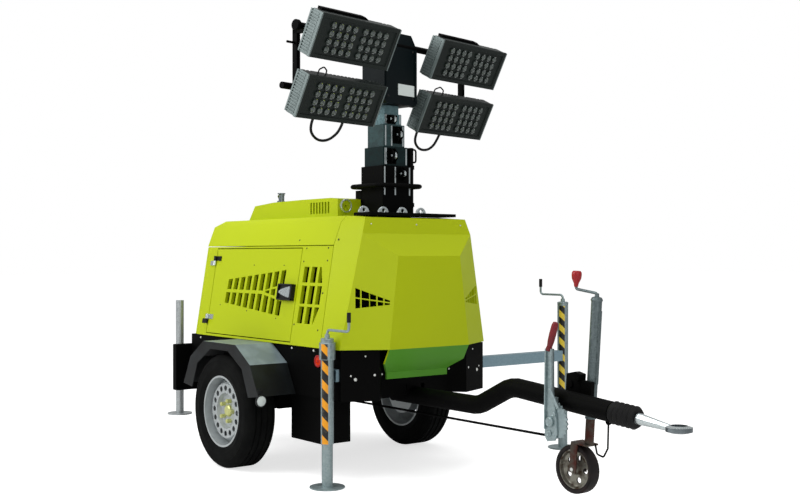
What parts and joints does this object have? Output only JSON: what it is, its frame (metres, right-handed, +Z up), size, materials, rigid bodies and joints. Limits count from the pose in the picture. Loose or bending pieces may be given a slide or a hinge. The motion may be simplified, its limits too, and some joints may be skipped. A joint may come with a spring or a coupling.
{
  "type": "mobile light tower on a braked single-axle trailer",
  "caption": "Trailer-mounted light tower with a louvred engine canopy, telescoping mast, tilting floodlights, drawbar, jockey wheel and screw stabilisers.",
  "frame": {"origin": "centre of the towing eye bore", "axes": "+X forward along the drawbar, +Y to the left, +Z up"},
  "size_m": [3.562, 2.0369, 2.3194],
  "materials": {
    "lime": "satin",
    "black_frame": "satin",
    "guard_plastic": "matte",
    "tyre": "matte",
    "silver_steel": "satin",
    "jockey_tyre": "matte",
    "galvanised": "satin",
    "mast_steel": "satin",
    "lamp_housing": "satin",
    "reflector": "gloss",
    "engine": "matte"
  },
  "bodies": {
    "chassis": {"axle": "black_frame", "brake_lever": "galvanised", "brake_rod": "galvanised", "coupling_bellows": "black_frame", "drawbar": "black_frame", "engine_block": "engine", "exhaust_pipe": "galvanised", "floor_pan": "black_frame", "frame_side_left": "black_frame", "frame_side_right": "black_frame", "front_beam": "black_frame", "front_cowl": "lime", "front_skirt": "black_frame", "jockey_clamp": "black_frame", "jockey_tube": "galvanised", "lug_plate": "black_frame", "mast_base": "black_frame", "mast_hoop": "black_frame", "mudguard_left": "guard_plastic", "mudguard_right": "guard_plastic", "rear_beam": "black_frame", "rear_clamp_left": "black_frame", "rear_clamp_right": "black_frame", "rear_panel": "lime", "roof": "lime", "roof_duct": "lime", "side_box": "black_frame", "side_panel_left": "lime", "side_panel_right": "lime", "side_reflectors": "reflector", "tail_panels": "black_frame", "towing_eye": "galvanised"},
    "door_left": {"door_left": "lime"},
    "door_right": {"door_right": "lime"},
    "wheel_left": {"tyre_left": "tyre", "wheel_rim_left": "silver_steel"},
    "wheel_right": {"tyre_right": "tyre", "wheel_rim_right": "silver_steel"},
    "arm_left": {"stabiliser_arm_left": "galvanised", "stabiliser_tube_left": "galvanised"},
    "arm_right": {"stabiliser_arm_right": "galvanised", "stabiliser_tube_right": "galvanised"},
    "leg_left": {"stabiliser_leg_left": "galvanised"},
    "leg_right": {"stabiliser_leg_right": "galvanised"},
    "rear_leg_left": {"rear_leg_left": "galvanised"},
    "rear_leg_right": {"rear_leg_right": "galvanised"},
    "jockey_leg": {"jockey_leg": "galvanised"},
    "jockey_wheel": {"jockey_wheel": "jockey_tyre"},
    "mast_1": {"mast_section_1": "mast_steel"},
    "mast_2": {"mast_section_2": "mast_steel"},
    "mast_3": {"mast_section_3": "mast_steel"},
    "mast_4": {"mast_section_4": "mast_steel"},
    "head": {"lamp_head": "black_frame"},
    "lamp_upper_left": {"lamp_upper_left": "lamp_housing"},
    "lamp_upper_right": {"lamp_upper_right": "lamp_housing"},
    "lamp_lower_left": {"lamp_lower_left": "lamp_housing"},
    "lamp_lower_right": {"lamp_lower_right": "lamp_housing"}
  },
  "joints": [
    {"name": "wheel_spin_left", "type": "hinge", "parent": "chassis", "child": "wheel_left", "pos_m": [-2.483, 0.6075, -0.145], "axis": [0, 1, 0], "continuous": true},
    {"name": "wheel_spin_right", "type": "hinge", "parent": "chassis", "child": "wheel_right", "pos_m": [-2.483, -0.6075, -0.145], "axis": [0, 1, 0], "continuous": true},
    {"name": "door_open_left", "type": "hinge", "parent": "chassis", "child": "door_left", "pos_m": [-3.0335, 0.44975, 0.49645], "axis": [0, -0.1613, 0.9869], "range_deg": [0, 110]},
    {"name": "door_open_right", "type": "hinge", "parent": "chassis", "child": "door_right", "pos_m": [-3.0335, -0.44975, 0.49645], "axis": [0, -0.1613, -0.9869], "range_deg": [0, 110]},
    {"name": "arm_out_left", "type": "slide", "parent": "chassis", "child": "arm_left", "axis": [0, 1, 0], "range_m": [-0.696, 0]},
    {"name": "arm_out_right", "type": "slide", "parent": "chassis", "child": "arm_right", "axis": [0, -1, 0], "range_m": [0, 0.696]},
    {"name": "leg_slide_left", "type": "slide", "parent": "arm_left", "child": "leg_left", "axis": [0, 0, 1], "range_m": [-0.12, 0.32]},
    {"name": "leg_slide_right", "type": "slide", "parent": "arm_right", "child": "leg_right", "axis": [0, 0, 1], "range_m": [-0.25, 0.19]},
    {"name": "rear_leg_slide_left", "type": "slide", "parent": "chassis", "child": "rear_leg_left", "axis": [0, 0, 1], "range_m": [-0.164, 0.2]},
    {"name": "rear_leg_slide_right", "type": "slide", "parent": "chassis", "child": "rear_leg_right", "axis": [0, 0, 1], "range_m": [-0.164, 0.2]},
    {"name": "jockey_slide", "type": "slide", "parent": "chassis", "child": "jockey_leg", "axis": [0.0698, 0, 0.9976], "range_m": [-0.2, 0.04]},
    {"name": "jockey_wheel_spin", "type": "hinge", "parent": "jockey_leg", "child": "jockey_wheel", "pos_m": [-0.63064, 0.092, -0.26295], "axis": [0, 1, 0], "continuous": true},
    {"name": "mast_lift", "type": "slide", "parent": "chassis", "child": "mast_1", "axis": [0, 0, 1], "range_m": [0, 1.15]},
    {"name": "mast_lift_2", "type": "slide", "parent": "mast_1", "child": "mast_2", "axis": [0, 0, 1], "range_m": [0, 1.15]},
    {"name": "mast_lift_3", "type": "slide", "parent": "mast_2", "child": "mast_3", "axis": [0, 0, 1], "range_m": [0, 1.15]},
    {"name": "mast_lift_4", "type": "slide", "parent": "mast_3", "child": "mast_4", "axis": [0, 0, 1], "range_m": [0, 1.15]},
    {"name": "head_turn", "type": "hinge", "parent": "mast_4", "child": "head", "pos_m": [-1.923, 0, 1.5], "axis": [0, 0, 1], "range_deg": [-170, 170]},
    {"name": "lamp_tilt_upper_left", "type": "hinge", "parent": "head", "child": "lamp_upper_left", "pos_m": [-1.90704, 0.45418, 1.79956], "axis": [-0.1685, 0.9857, 0], "range_deg": [-15, 33]},
    {"name": "lamp_tilt_upper_right", "type": "hinge", "parent": "head", "child": "lamp_upper_right", "pos_m": [-1.75708, -0.42309, 1.79956], "axis": [-0.1685, 0.9857, 0], "range_deg": [-15, 33]},
    {"name": "lamp_tilt_lower_left", "type": "hinge", "parent": "head", "child": "lamp_lower_left", "pos_m": [-2.00167, 0.43801, 1.51956], "axis": [-0.1685, 0.9857, 0], "range_deg": [-15, 33]},
    {"name": "lamp_tilt_lower_right", "type": "hinge", "parent": "head", "child": "lamp_lower_right", "pos_m": [-1.85171, -0.43927, 1.51956], "axis": [-0.1685, 0.9857, 0], "range_deg": [-15, 33]}
  ],
  "couplings": [
    {"joint": "mast_lift_2", "follows": "mast_lift", "ratio": 1},
    {"joint": "mast_lift_3", "follows": "mast_lift", "ratio": 1},
    {"joint": "mast_lift_4", "follows": "mast_lift", "ratio": 1}
  ]
}
